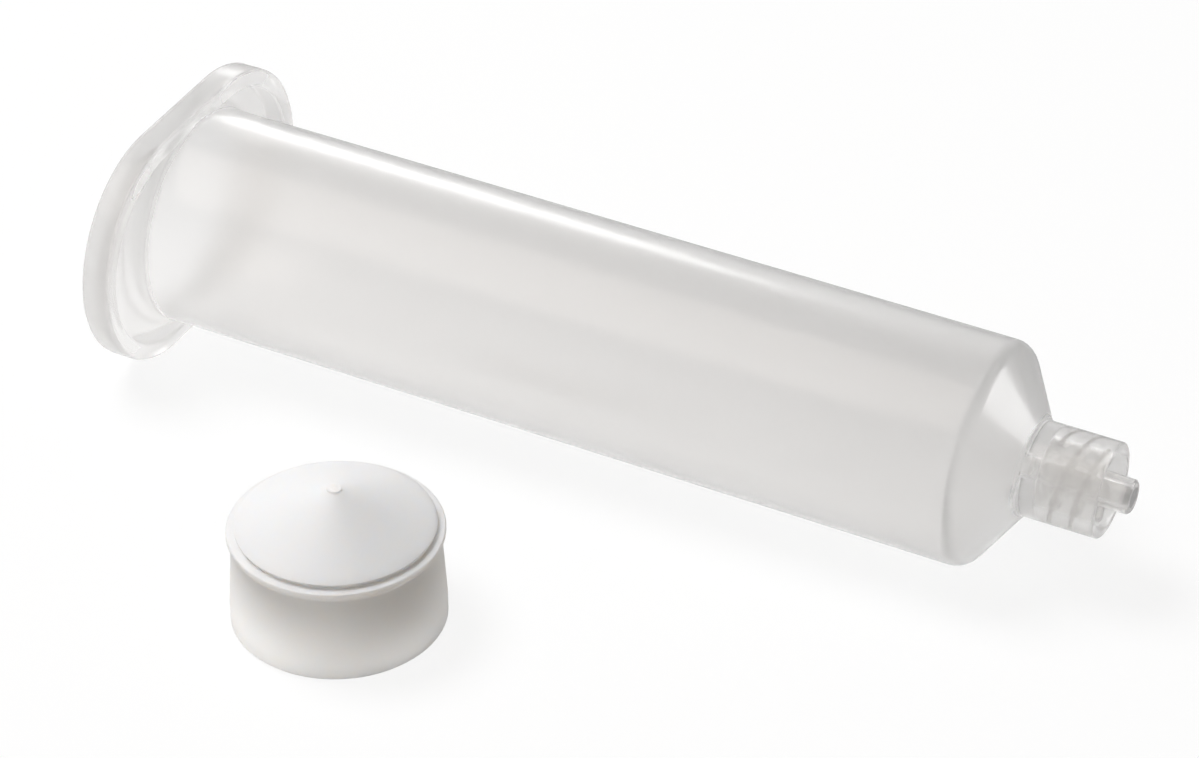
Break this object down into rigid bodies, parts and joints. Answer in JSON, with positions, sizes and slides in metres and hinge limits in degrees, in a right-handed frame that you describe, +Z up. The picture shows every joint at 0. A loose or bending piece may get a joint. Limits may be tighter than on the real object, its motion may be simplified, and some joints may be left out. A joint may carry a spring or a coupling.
{
  "type": "dispensing syringe barrel with piston",
  "caption": "Translucent dispensing syringe barrel with an oblong finger flange and a Luer-lock nozzle, lying beside its loose white conical piston, which wipes the bore to push adhesive out.",
  "frame": {"origin": "on the table, under the middle of the box round both pieces", "axes": "+X along the lying barrel towards its nozzle, +Y away from the piston, +Z up"},
  "size_m": [0.1216, 0.076, 0.0286],
  "materials": {
    "translucent_polypropylene": "moulded, smooth and milky",
    "white_polyethylene": "moulded, satin"
  },
  "bodies": {
    "barrel": {"barrel": "translucent_polypropylene"},
    "piston": {"piston": "white_polyethylene"}
  },
  "joints": [
    {"name": "piston_slide", "type": "slide", "parent": "barrel", "child": "piston", "axis": [0, 0, 1], "range_m": [0, 0.09]}
  ]
}
